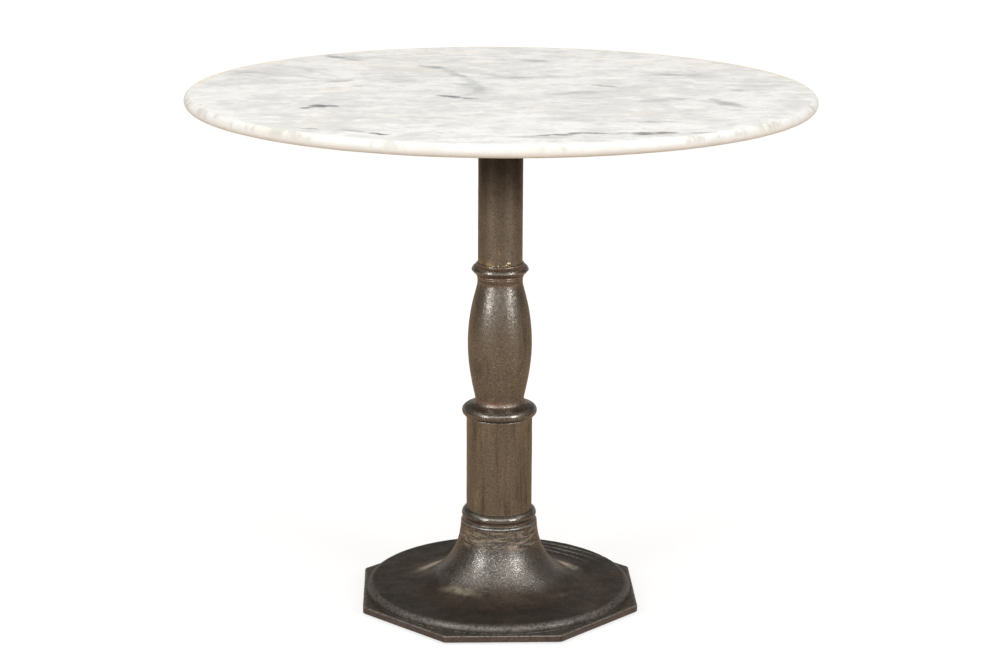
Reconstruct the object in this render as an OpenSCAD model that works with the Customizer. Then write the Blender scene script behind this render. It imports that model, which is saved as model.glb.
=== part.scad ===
// Round pedestal bistro table: a stone top on a turned cast-iron column, on a bell cast in
// one with a round disc. An octagonal plinth plate is screwed on below the disc, and a tie rod
// clamps the column. Origin on the floor under the column's axis, +Z up. One flat of the
// plinth faces -Y.

/* [Top] */
// Diameter of the stone slab
top_d = 914.4; // [800:1:1000]
// Thickness of the stone slab
top_t = 19; // [18:0.5:24]
// Height of the top face above the floor
top_z = 778; // [770:1:800]

/* [Column] */
// Outer diameter of the upper tube
tube_d = 66; // [64:0.5:68]
// Wall of the upper tube
tube_wall = 4; // [3:0.5:6]
// Widest diameter of the baluster
vase_d = 95.6; // [92:0.2:100]
// Wall of the baluster
vase_wall = 7; // [6:0.5:9]
// Outer diameter of the lower drum
drum_d = 98.5; // [97:0.5:100]
// Wall of the lower drum
drum_wall = 6; // [5:0.5:8]
// Widest diameter of the two beaded rings
bead_d = 112.2; // [111:0.2:116]

/* [Base] */
// Width of the octagonal plinth across its flats
plinth_w = 410.8; // [408:0.2:430]
// Thickness of the plinth plate
plinth_h = 10; // [9:0.5:11]
// Diameter of the round disc
disc_d = 401; // [398:0.5:404]
// Height of the disc's face above the plinth's underside
disc_h = 22.5; // [21:0.5:24]
// Number of screws that hold the plinth plate to the disc
screw_count = 8; // [4:4:8]

/* [Fasteners] */
// Diameter of the tie rod
rod_d = 16; // [14:1:16]
// Diameter of the four bolts into the stone
bolt_d = 8; // [6:1:8]
// Circle through the four bolts
bolt_circle = 350; // [320:1:360]

/* [Levelling glides] */
// Gap between the plinth's underside and the floor with the glides screwed in
glide_gap = 3; // [2.5:0.1:4]
// Diameter of a glide's pad
pad_d = 32; // [28:1:34]
// Diameter of a glide's stud
stud_d = 8; // [7:0.5:8]
// Circle through the four glides
glide_circle = 330; // [320:1:336]

/* [Hidden] */
$fn = 96;

stone = [0.93, 0.93, 0.91];
iron = [0.36, 0.31, 0.27];
dark_iron = [0.24, 0.21, 0.18];
zinc = [0.62, 0.62, 0.60];
brass = [0.75, 0.60, 0.30];
rubber = [0.10, 0.10, 0.10];
nylon = [0.16, 0.15, 0.15];

fit = 0.05;          // radial clearance of a spigot in its socket
thread_bite = 0.1;   // radial overlap of a screwed thread and its nut

// Heights of the joints in the column, from the floor
base_z = glide_gap;
bell_z = base_z + 122;
drum_z = base_z + 139.2;
mid_z = base_z + 284;
vase_z = base_z + 304.8;
neck_z = base_z + 490.5;
tube_z = base_z + 518;
spigot_h = 6;
ring_bore_r = 24;

// Radii of the column
tube_r = tube_d / 2;
drum_r = drum_d / 2;
bead_r = 8;
bead_c = bead_d / 2 - bead_r;
drum_bore_r = drum_r - drum_wall;
bell_r = 57.4;
bell_socket_r = 44;
vase_foot_r = 38.4;
neck_r = 33.65;

// Spider under the slab
cushion_t = 1.5;
spider_z = top_z - top_t - cushion_t;
hub_h = 41.5;
hub_r = 44;
hub_socket_h = 20;
nut_well_r = 18;
nut_well_h = 22;
arm_tip_h = 10;
arm_root_h = 26;
boss_r = 20;
bolt_r = bolt_d / 2;
insert_r = 6;
insert_h = 13;
bolt_top_z = top_z - top_t + 9;
washer_t = 1.6;

// Tie rod and its fasteners
rod_r = rod_d / 2;
rod_hole_r = rod_r + 1;
rod_top_z = top_z - top_t - 4.5;
rod_bottom_z = base_z + 75;
web_z = base_z + 101;
plate_t = 5;
lock_t = 4;
nut_h = 13;
nut_af = 24;

// Base
disc_z = base_z + disc_h;
plate_z = base_z + plinth_h;
core_top_r = 40;
core_low_r = 45;
screw_circle_r = 176;
screw_head_r = 8;
screw_head_h = 4;
screw_top_z = plate_z + 7.5;

// Glides
glide_r = glide_circle / 2;
stud_r = stud_d / 2;
stud_top_z = 22;
glide_hex_z = 5.9;
glide_hex_h = 2.8;
glide_hex_af = 13;
glide_boss_z = 9;
glide_boss_r = 13;
pad_h = 5.5;
pad_flange_r = 7;
pad_flange_z = 1.6;
pad_flange_h = 2.8;
pad_lip_r = 4.5;
pad_well_r = pad_d / 2 + 2;

// ---- outlines ----

// Point of a cubic Bezier curve at t
function bezier(p, t) = pow(1 - t, 3) * p[0] + 3 * pow(1 - t, 2) * t * p[1]
    + 3 * (1 - t) * t * t * p[2] + pow(t, 3) * p[3];
function curve(p, steps) = [for (i = [0:steps]) bezier(p, i / steps)];

// Arc from angle a to angle b, as [radius, height] points
function arc(cx, cz, r, a, b, steps) =
    [for (i = [0:steps]) let (t = a + (b - a) * i / steps) [cx + r * cos(t), cz + r * sin(t)]];

// Outer curve of the bell, from its shoulder down to the face of the disc
bell_curve = curve([
    [bell_r, bell_z - 4],
    [bell_r, base_z + 68],
    [95, disc_z],
    [139, disc_z]], 20);

// Outer curve of the baluster, from its foot to its neck, moved in by inset
function vase_curve(inset) = concat(
    curve([
        [vase_foot_r - 2.1 - inset, vase_z + 5.2],
        [vase_foot_r - 1.2 - inset, vase_z + 13.8],
        [vase_d / 2 - inset, vase_z + 47.8],
        [vase_d / 2 - inset, vase_z + 90]], 12),
    curve([
        [vase_d / 2 - inset, vase_z + 91],
        [vase_d / 2 - inset, neck_z - 37.8],
        [neck_r - 2.1 - inset, neck_z - 6.3],
        [neck_r - inset, neck_z]], 12));

// ---- shared shapes ----

module turned(points) {
    rotate_extrude() polygon(points);
}

module hexagon(af, h) {
    cylinder(r = af / 2 / cos(30), h = h, $fn = 6);
}

// Copies the child to the four bolt places, on the diagonals
module four_places(radius) {
    for (i = [0:3]) rotate([0, 0, 45 + 90 * i]) translate([radius, 0, 0]) children();
}

module drilled_disc(r, bore, h, z) {
    translate([0, 0, z]) difference() {
        cylinder(r = r, h = h);
        translate([0, 0, -1]) cylinder(r = bore, h = h + 2);
    }
}

module rod_nut(z) {
    translate([0, 0, z]) difference() {
        hexagon(nut_af, nut_h);
        translate([0, 0, -1]) cylinder(r = rod_r - thread_bite, h = nut_h + 2);
    }
}

// Centre of glide i, counted anticlockwise from the +X +Y corner
module at_glide(i) {
    rotate([0, 0, 90 * i - 45]) translate([glide_r, 0, 0]) children();
}

// ---- top ----

module marble_top() {
    edge = top_t / 2;
    low = top_z - top_t;
    color(stone) difference() {
        turned(concat(
            [[0, low]],
            arc(top_d / 2 - edge, low + edge, edge, -90, 90, 20),
            [[0, top_z]]));
        four_places(bolt_circle / 2)
            translate([0, 0, low - 1]) cylinder(r = insert_r + fit, h = insert_h + 1.2);
    }
}

module top_inserts() {
    color(brass) four_places(bolt_circle / 2) translate([0, 0, top_z - top_t]) difference() {
        cylinder(r = insert_r, h = insert_h);
        translate([0, 0, -1]) cylinder(r = bolt_r - thread_bite, h = insert_h - 1);
    }
}

module top_cushions() {
    color(rubber) four_places(bolt_circle / 2)
        drilled_disc(boss_r - 2, bolt_r + 2.5, cushion_t, spider_z);
}

module top_bolts() {
    head_h = 5.3;
    under = spider_z - arm_tip_h - washer_t;
    color(zinc) four_places(bolt_circle / 2) translate([0, 0, under - head_h]) union() {
        hexagon(13, head_h);
        cylinder(r = bolt_r, h = bolt_top_z - under + head_h);
    }
}

module top_washers() {
    color(zinc) four_places(bolt_circle / 2)
        drilled_disc(bolt_r * 2, bolt_r + 0.2, washer_t, spider_z - arm_tip_h - washer_t);
}

// One arm of the spider along +X: a flange on top and a tapering web below it
module spider_arm() {
    reach = bolt_circle / 2;
    translate([0, -13, spider_z - arm_tip_h]) cube([reach, 26, arm_tip_h]);
    translate([reach, 0, spider_z - arm_tip_h]) cylinder(r = boss_r, h = arm_tip_h);
    rotate([90, 0, 0]) translate([0, 0, -4]) linear_extrude(8) polygon([
        [0, spider_z - 1],
        [0, spider_z - arm_root_h],
        [hub_r + 4, spider_z - arm_root_h],
        [reach - boss_r + 2, spider_z - arm_tip_h],
        [reach - boss_r + 2, spider_z - 1]]);
}

module top_spider() {
    hub_z = spider_z - hub_h;
    color(dark_iron) difference() {
        union() {
            turned([
                [0, hub_z],
                [hub_r - 2, hub_z],
                [hub_r, hub_z + 2],
                [hub_r, hub_z + 14],
                [hub_r + 6, spider_z - arm_tip_h],
                [hub_r + 6, spider_z],
                [0, spider_z]]);
            for (i = [0:3]) rotate([0, 0, 45 + 90 * i]) spider_arm();
        }
        translate([0, 0, hub_z - 1]) cylinder(r = tube_r + fit, h = hub_socket_h - 4 + 1);
        translate([0, 0, hub_z]) cylinder(r = rod_hole_r, h = hub_h + 1);
        translate([0, 0, spider_z - nut_well_h]) cylinder(r = nut_well_r, h = nut_well_h + 1);
        four_places(bolt_circle / 2) translate([0, 0, spider_z - arm_tip_h - 1])
            cylinder(r = bolt_r + 0.5, h = arm_tip_h + 2);
    }
}

// ---- tie rod ----

module tie_rod() {
    color(zinc) translate([0, 0, rod_bottom_z]) cylinder(r = rod_r, h = rod_top_z - rod_bottom_z);
}

module rod_top_washer() {
    color(zinc) drilled_disc(15, rod_r + 0.5, 3, spider_z - nut_well_h);
}

module rod_top_nut() {
    color(zinc) rod_nut(spider_z - nut_well_h + 3);
}

module rod_bottom_washer() {
    color(zinc) drilled_disc(32, rod_r + 0.5, plate_t, web_z - plate_t);
}

// Split spring washer: a ring with one slanted cut
module rod_lock_washer() {
    color(zinc) difference() {
        drilled_disc(rod_r * 1.6, rod_r + 0.4, lock_t, web_z - plate_t - lock_t);
        translate([rod_r * 1.3, 0, web_z - plate_t - lock_t / 2]) rotate([35, 0, 0])
            cube([rod_r * 1.2, 1.5, lock_t * 3], center = true);
    }
}

module rod_bottom_nut() {
    color(zinc) rod_nut(web_z - plate_t - lock_t - nut_h);
}

// ---- column ----

module upper_tube() {
    bottom = tube_z - spigot_h;
    top = spider_z - hub_h + hub_socket_h - 4;
    color(iron) drilled_disc(tube_r, tube_r - tube_wall, top - bottom, bottom);
}

// Ring with a sharp ridge; the tube stands in its top socket, its spigot enters the baluster
module upper_collar() {
    ridge_r = 42.4;
    ridge_z = base_z + 508;
    color(iron) turned(concat(
        [[ring_bore_r, neck_z - spigot_h],
         [neck_r - vase_wall - fit, neck_z - spigot_h],
         [neck_r - vase_wall - fit, neck_z],
         [neck_r + 0.1, neck_z]],
        arc(neck_r - 0.8, neck_z + 5.4, 1.3, -35, 35, 4),
        arc(neck_r + 0.2, neck_z + 8.4, 1.4, -35, 35, 4),
        curve([
            [neck_r + 2.2, neck_z + 10.8],
            [neck_r + 3.6, neck_z + 12.2],
            [ridge_r - 3.4, ridge_z - 5.6],
            [ridge_r - 1.5, ridge_z - 2]], 6),
        arc(ridge_r - 1.9, ridge_z, 1.9, -55, 45, 6),
        [[ridge_r - 4.4, ridge_z + 5.4],
         [tube_r + 3.2, tube_z - 2.6]],
        arc(tube_r + 0.9, tube_z - 1.2, 1.6, -25, 100, 6),
        [[tube_r + fit, tube_z + 0.4],
         [tube_r + fit, tube_z - spigot_h],
         [ring_bore_r, tube_z - spigot_h]]));
}

module baluster() {
    outer = concat(
        [[vase_foot_r, vase_z]],
        arc(vase_foot_r + 0.4, vase_z + 4.2, 2.3, 200, 160, 3),
        vase_curve(0));
    inner_top = neck_r - vase_wall;
    inner_foot = vase_foot_r - 2.1 - vase_wall;
    color(iron) turned(concat(
        outer,
        [[inner_top, neck_z],
         [inner_top, neck_z - spigot_h - 1]],
        [for (i = [20:-1:4]) vase_curve(vase_wall)[i]],
        [[inner_foot, vase_z + spigot_h + 1],
         [inner_foot, vase_z]]));
}

// Wide beaded ring between the baluster and the drum
module mid_collar() {
    bead_z = mid_z + bead_r;
    inner_foot = vase_foot_r - 2.1 - vase_wall;
    color(iron) turned(concat(
        [[ring_bore_r, mid_z - spigot_h],
         [drum_bore_r - fit, mid_z - spigot_h],
         [drum_bore_r - fit, mid_z],
         [bead_c + 0.6, mid_z]],
        arc(bead_c, bead_z, bead_r, -84, 84, 16),
        [[vase_foot_r + 2.6, vase_z - 2.2],
         [vase_foot_r + 0.9, vase_z - 1.2],
         [vase_foot_r, vase_z],
         [inner_foot - fit, vase_z],
         [inner_foot - fit, vase_z + spigot_h],
         [ring_bore_r, vase_z + spigot_h]]));
}

module lower_drum() {
    color(iron) drilled_disc(drum_r, drum_bore_r, mid_z - drum_z, drum_z);
}

// Beaded ring between the drum and the bell, with a groove under its bead
module base_ring() {
    bead_z = base_z + 131;
    groove_r = 54.6;
    color(iron) turned(concat(
        [[ring_bore_r, bell_z - spigot_h],
         [bell_socket_r - fit, bell_z - spigot_h],
         [bell_socket_r - fit, bell_z],
         [groove_r, bell_z]],
        arc(bead_c, bead_z, bead_r, -36, 80, 14),
        [[drum_bore_r + 0.2, drum_z],
         [drum_bore_r - fit, drum_z],
         [drum_bore_r - fit, drum_z + spigot_h],
         [ring_bore_r, drum_z + spigot_h]]));
}

// ---- base ----

// Copies the child to the screws' places, towards the corners of the plinth
module screw_places() {
    for (i = [0:screw_count - 1]) rotate([0, 0, 22.5 + 360 / screw_count * i])
        translate([screw_circle_r, 0, 0]) children();
}

// Bell and round disc in one casting, with a tapered core and a boss for each glide
module base_bell() {
    disc_r = disc_d / 2;
    edge = 6;
    color(iron) difference() {
        union() {
            turned(concat(
                [[core_low_r, plate_z],
                 [disc_r, plate_z],
                 [disc_r, disc_z - edge]],
                arc(disc_r - edge, disc_z - edge, edge, 0, 90, 8),
                [for (i = [20:-1:0]) bell_curve[i]],
                [[bell_r - 0.5, bell_z - 2.4],
                 [bell_r - 1.9, bell_z - 1],
                 [54.6, bell_z],
                 [bell_socket_r, bell_z],
                 [bell_socket_r, bell_z - spigot_h - 1],
                 [rod_hole_r, bell_z - spigot_h - 1],
                 [rod_hole_r, web_z],
                 [core_top_r, web_z]]));
            four_places(glide_r) translate([0, 0, glide_boss_z])
                cylinder(r = glide_boss_r, h = plate_z + 2 - glide_boss_z);
        }
        four_places(glide_r) translate([0, 0, glide_boss_z - 1])
            cylinder(r = stud_r + fit, h = stud_top_z + 0.5 - glide_boss_z + 1);
        screw_places() translate([0, 0, plate_z - 1])
            cylinder(r = bolt_r - thread_bite, h = screw_top_z + 0.5 - plate_z + 1);
    }
}

// Octagonal plate with rounded corners, a well for each glide and a countersink for each screw
module base_plinth() {
    reach = plinth_w / 2 / cos(22.5);
    color(iron) difference() {
        translate([0, 0, base_z]) linear_extrude(plinth_h) intersection() {
            rotate([0, 0, 22.5]) circle(r = reach, $fn = 8);
            circle(r = reach - 2.5, $fn = 128);
        }
        four_places(glide_r) translate([0, 0, base_z - 1]) cylinder(r = pad_well_r, h = plinth_h + 2);
        screw_places() translate([0, 0, base_z - 1]) cylinder(r = bolt_r + 0.3, h = plinth_h + 2);
        screw_places() turned([
            [0, base_z - 1],
            [screw_head_r + fit, base_z - 1],
            [screw_head_r + fit, base_z],
            [bolt_r, base_z + screw_head_h + fit],
            [0, base_z + screw_head_h + fit]]);
    }
}

// Countersunk screws with a hexagon socket, flush with the plate's underside
module plinth_screws() {
    color(zinc) screw_places() difference() {
        turned([
            [0, base_z],
            [screw_head_r - 0.1, base_z],
            [bolt_r, base_z + screw_head_h],
            [bolt_r, screw_top_z],
            [0, screw_top_z]]);
        translate([0, 0, base_z - 1]) hexagon(5, 4);
    }
}

// ---- levelling glides ----

// Threaded stud with a hexagon for a spanner and a flange held in the pad
module glide_stud(i) {
    color(zinc) at_glide(i) union() {
        translate([0, 0, pad_flange_z]) cylinder(r = pad_flange_r, h = pad_flange_h);
        translate([0, 0, pad_flange_z + 1]) cylinder(r = stud_r, h = stud_top_z - pad_flange_z - 1);
        translate([0, 0, glide_hex_z]) hexagon(glide_hex_af, glide_hex_h);
    }
}

module glide_pad(i) {
    gap = 0.1;
    color(nylon) at_glide(i) turned([
        [0, 0],
        [pad_d / 2 - 1, 0],
        [pad_d / 2, 1],
        [pad_d / 2, 3.2],
        [pad_lip_r + 5, pad_h],
        [pad_lip_r, pad_h],
        [pad_lip_r, pad_flange_z + pad_flange_h + gap],
        [pad_flange_r + fit, pad_flange_z + pad_flange_h + gap],
        [pad_flange_r + fit, pad_flange_z - gap],
        [0, pad_flange_z - gap]]);
}

marble_top();
top_inserts();
top_cushions();
top_bolts();
top_washers();
top_spider();
rod_top_nut();
rod_top_washer();
tie_rod();
upper_tube();
upper_collar();
baluster();
mid_collar();
lower_drum();
base_ring();
base_bell();
base_plinth();
plinth_screws();
rod_bottom_washer();
rod_lock_washer();
rod_bottom_nut();
for (i = [1:4]) {
    glide_stud(i);
    glide_pad(i);
}
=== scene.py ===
"""Bistro table: a marble slab on an aged cast-iron pedestal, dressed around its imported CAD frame.

Lengths in the outlines are millimetres, and MM turns them into metres. Heights and radii that
the frame fixes are read from it with span().
"""

import random
from math import atan2, ceil, cos, degrees, exp, hypot, pi, radians, sin, tan

import bmesh
import bpy
import numpy as np
from mathutils import Matrix, Vector, noise


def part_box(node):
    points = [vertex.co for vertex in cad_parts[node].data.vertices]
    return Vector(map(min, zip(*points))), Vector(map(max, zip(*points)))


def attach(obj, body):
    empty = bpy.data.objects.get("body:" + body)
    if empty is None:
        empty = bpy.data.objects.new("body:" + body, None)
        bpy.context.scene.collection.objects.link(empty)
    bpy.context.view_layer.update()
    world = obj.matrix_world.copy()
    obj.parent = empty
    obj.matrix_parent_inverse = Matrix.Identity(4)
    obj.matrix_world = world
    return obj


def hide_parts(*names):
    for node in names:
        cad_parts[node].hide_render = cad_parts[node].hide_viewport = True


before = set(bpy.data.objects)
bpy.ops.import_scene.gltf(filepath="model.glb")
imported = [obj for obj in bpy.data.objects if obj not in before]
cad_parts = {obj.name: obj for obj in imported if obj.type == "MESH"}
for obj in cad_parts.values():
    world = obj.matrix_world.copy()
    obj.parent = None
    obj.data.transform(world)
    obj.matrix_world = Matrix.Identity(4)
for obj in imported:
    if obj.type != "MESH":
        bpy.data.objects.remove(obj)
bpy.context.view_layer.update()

MM = 0.001
BODY = "table"


def span(node):
    """Bottom, top and outer radius of a CAD node in millimetres."""
    low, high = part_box(node)
    return low.z / MM, high.z / MM, (high.x - low.x) / 2 / MM


# ---------------- node helpers


class Nodes:
    """A node tree and the few patterns that the world, the floor and the finishes share."""

    def __init__(self, tree):
        self.tree = tree

    def node(self, kind, inputs=(), **settings):
        node = self.tree.nodes.new("ShaderNode" + kind)
        for key, value in settings.items():
            setattr(node, key, value)
        for key, value in dict(inputs).items():
            self.feed(node.inputs[key], value)
        return node

    def feed(self, socket, value):
        if isinstance(value, bpy.types.NodeSocket):
            self.tree.links.new(value, socket)
        elif socket.type == "RGBA" and len(value) == 3:
            socket.default_value = (*value, 1)
        else:
            socket.default_value = value

    def math(self, operation, a, b=0.0, clamp=False):
        return self.node("Math", {0: a, 1: b}, operation=operation, use_clamp=clamp).outputs[0]

    def times(self, first, *others):
        for other in others:
            first = self.math("MULTIPLY", first, other)
        return first

    def greatest(self, first, *others):
        for other in others:
            first = self.math("MAXIMUM", first, other)
        return first

    def window(self, value, low, high, to_low=0.0, to_high=1.0):
        node = self.node("MapRange", {"Value": value, "From Min": low, "From Max": high,
                                      "To Min": to_low, "To Max": to_high},
                         interpolation_type="SMOOTHSTEP")
        return node.outputs[0]

    def blend(self, factor, a, b, kind="MIX"):
        node = self.node("Mix", {0: factor, 6: a, 7: b}, data_type="RGBA", blend_type=kind)
        return node.outputs[2]

    def either(self, factor, shader, other):
        return self.node("MixShader", {0: factor, 1: shader, 2: other}).outputs[0]

    def seen(self):
        return self.node("LightPath").outputs["Is Camera Ray"]


class Paint(Nodes):
    """A Principled material and the patterns that only a material uses."""

    def __init__(self, name):
        self.material = bpy.data.materials.new(name)
        self.material.use_nodes = True
        super().__init__(self.material.node_tree)
        self.shader = self.tree.nodes["Principled BSDF"]
        self.place = self.node("TexCoord").outputs["Object"]
        self.x, self.y, self.z = self.node("SeparateXYZ", {0: self.place}).outputs

    def set(self, **values):
        """Feeds the shader's sockets; Base_Color stands for Base Color."""
        for key, value in values.items():
            self.feed(self.shader.inputs[key.replace("_", " ")], value)

    def vector(self, operation, a, b=(0, 0, 0)):
        return self.node("VectorMath", {0: a, 1: b}, operation=operation).outputs[0]

    def length(self, vector):
        return self.node("VectorMath", {0: vector}, operation="LENGTH").outputs["Value"]

    def stretched(self, scale, turn=(0, 0, 0), shift=(0, 0, 0)):
        node = self.node("Mapping", {"Vector": self.place, "Scale": scale,
                                     "Rotation": [radians(a) for a in turn],
                                     "Location": shift})
        return node.outputs[0]

    def noise(self, scale, detail=3.0, rough=0.5, bend=0.0, place=None, output=0):
        node = self.node("TexNoise", {"Vector": place or self.place, "Scale": scale, "Detail": detail,
                                      "Roughness": rough, "Distortion": bend})
        return node.outputs[output]

    def shaken(self, scale, detail, rough, amount):
        """The place, pushed about by noise of that scale."""
        push = self.vector("SUBTRACT", self.noise(scale, detail, rough, output="Color"), (0.5, 0.5, 0.5))
        return self.vector("ADD", self.place, self.vector("MULTIPLY", push, (amount, amount, amount)))

    def spot(self, place, x, y, length, width, angle, strength, core=0.10):
        """A soft oval seen from above, in millimetres and degrees; full out to core of its size."""
        turn = radians(angle)
        centre = Matrix.Rotation(-turn, 3, "Z") @ Vector((x, y, 0)) * MM
        scale = (1 / (length * MM), 1 / (width * MM), 0)
        turned = self.node("Mapping", {"Vector": place, "Rotation": (0, 0, -turn)}).outputs[0]
        away = self.length(self.vector("MULTIPLY", self.vector("SUBTRACT", turned, centre), scale))
        return self.window(away, 1.15, core, 0.0, strength)

    def attribute(self, name):
        return self.node("Attribute", attribute_name=name).outputs["Fac"]

    def bump(self, value, strength, distance, under=None):
        node = self.node("Bump", {"Height": value, "Strength": strength, "Distance": distance})
        if under is not None:
            self.feed(node.inputs["Normal"], under)
        return node.outputs[0]


# ---------------- camera and stage

CAMERA_AZIMUTH = -1.93      # degrees the line of sight turns from +Y
CAMERA_DISTANCE = 3.505     # metres from the column's axis
CAMERA_HEIGHT = 1.3225
CAMERA_DOWN = 14.5          # degrees
CAMERA_ROLL = 0.30
CAMERA_PAN = 0.003          # degrees to the right of the axis

COOL = (0.95, 0.985, 1.0)
WALL = (0.30, 0.262, 0.228)
BAND = (0.68, 0.69, 0.69)
UNDER = (0.45, 0.45, 0.45)
WOOD = (0.42, 0.315, 0.225)
HOLE_R = 0.25               # metres of floor left open round the axis


def link(name, data):
    """A new object in the scene."""
    made = bpy.data.objects.new(name, data)
    bpy.context.scene.collection.objects.link(made)
    return made


def polar(azimuth, distance, height):
    """A place in metres; azimuth 0 is the front."""
    turn = radians(azimuth)
    return Vector((distance * sin(turn), -distance * cos(turn), height))


def make_camera():
    data = bpy.data.cameras.new("camera")
    data.lens = 87.64
    data.sensor_width = 36
    data.clip_end = 200
    camera = link("camera", data)
    view = Matrix.Translation(polar(CAMERA_AZIMUTH, CAMERA_DISTANCE, CAMERA_HEIGHT))
    for angle, axis in ((CAMERA_AZIMUTH - CAMERA_PAN, "Z"), (90 - CAMERA_DOWN, "X"), (CAMERA_ROLL, "Z")):
        view = view @ Matrix.Rotation(radians(angle), 4, axis)
    camera.matrix_world = view
    bpy.context.scene.camera = camera


def area_light(name, azimuth, distance, height, size, radiance, aim=0.4):
    """A soft rectangular light that faces the axis at height aim."""
    data = bpy.data.lights.new(name, "AREA")
    data.shape = "RECTANGLE"
    data.size, data.size_y = size
    data.energy = radiance * pi * data.size * data.size_y
    data.color = COOL
    light = link(name, data)
    light.location = polar(azimuth, distance, height)
    toward = Vector((0, 0, aim)) - light.location
    light.rotation_euler = toward.to_track_quat("-Z", "Y").to_euler()
    light.visible_camera = False


def make_lights():
    area_light("softbox_left", -48, 3.0, 1.6, (0.75, 1.4), 9.0)
    area_light("softbox_right", 46, 3.0, 1.6, (0.75, 1.4), 9.0)
    area_light("fill_front", 0, 4.5, 2.3, (3.4, 1.4), 0.8)
    sun = bpy.data.lights.new("overhead", "SUN")
    sun.energy = 2.4
    sun.angle = radians(100)
    link("overhead", sun).rotation_euler = (radians(14), 0, 0)


def make_world():
    """Dim warm walls with a pale band low behind the table; the camera sees plain white instead."""
    world = bpy.data.worlds.new("studio")
    world.use_nodes = True
    n = Nodes(world.node_tree)
    _, back, rise = n.node("SeparateXYZ", {0: n.node("TexCoord").outputs["Generated"]}).outputs
    glow = n.times(n.window(rise, 0.02, 0.20, 0.22, 1.0), n.window(back, -0.3, 0.9, 1.0, 0.40))
    band = n.times(n.window(rise, 0.015, 0.06), n.window(rise, 0.215, 0.165), n.window(back, 0.45, 0.85))
    colour = n.blend(glow, (0, 0, 0), WALL)
    colour = n.blend(band, colour, BAND)
    colour = n.blend(n.window(rise, -0.02, -0.08), colour, UNDER)
    walls = n.node("Background", {"Color": colour})
    white = n.node("Background", {"Color": (1, 1, 1)})
    surface = n.either(n.seen(), walls.outputs[0], white.outputs[0])
    n.feed(n.tree.nodes["World Output"].inputs["Surface"], surface)
    bpy.context.scene.world = world
    bpy.context.scene.view_settings.view_transform = "Standard"
    bpy.context.scene.view_settings.look = "None"


def make_floor():
    """A pale floor that glows a little, and that a view from below sees through.
    The object itself is lit and mirrored by a warm brown one, as in a room with a wooden floor,
    open below the base so that the base's underside is lit too."""
    reach = 40
    corners = [(-reach, -reach, 0), (reach, -reach, 0), (reach, reach, 0), (-reach, reach, 0)]
    mesh = bpy.data.meshes.new("floor")
    mesh.from_pydata(corners, [], [(0, 1, 2, 3)])
    p = Paint("floor")
    p.set(Base_Color=(0.30, 0.30, 0.30), Roughness=1.0, Specular_IOR_Level=0.0)
    p.set(Emission_Color=(1, 1, 1), Emission_Strength=0.74)
    wood = p.node("BsdfDiffuse", {"Color": WOOD}).outputs[0]
    clear = p.node("BsdfTransparent").outputs[0]
    unseen = p.either(p.math("GREATER_THAN", p.length(p.place), HOLE_R), clear, wood)
    above = p.either(p.seen(), unseen, p.shader.outputs[0])
    below = p.node("NewGeometry").outputs["Backfacing"]
    p.feed(p.tree.nodes["Material Output"].inputs["Surface"], p.either(below, above, clear))
    mesh.materials.append(p.material)
    link("floor", mesh)


# ---------------- finishes

DARK = (0.105, 0.092, 0.080)
BROWN = (0.255, 0.228, 0.196)
TAN = (0.400, 0.345, 0.285)
SILVER = (0.60, 0.595, 0.575)
RUST = (0.270, 0.115, 0.050)
CRUST = (0.40, 0.335, 0.245)
# Painted highlight: a greenish streak on the disc beside the bell
PAINTED_HIGHLIGHT_OLIVE = (0.29, 0.26, 0.17)
# Painted reflection: light tan patches on the sides of the bell's flare
PAINTED_REFLECTION_TAN = (0.62, 0.52, 0.39)
BRAZE = (0.56, 0.44, 0.23)
# Colour of the painted shadow that the slab casts on the tube's top
PAINTED_SHADOW = (0.018, 0.014, 0.011)
PLAIN = [(0.040, 0.031, 0.024), (0.076, 0.059, 0.046)]


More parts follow.
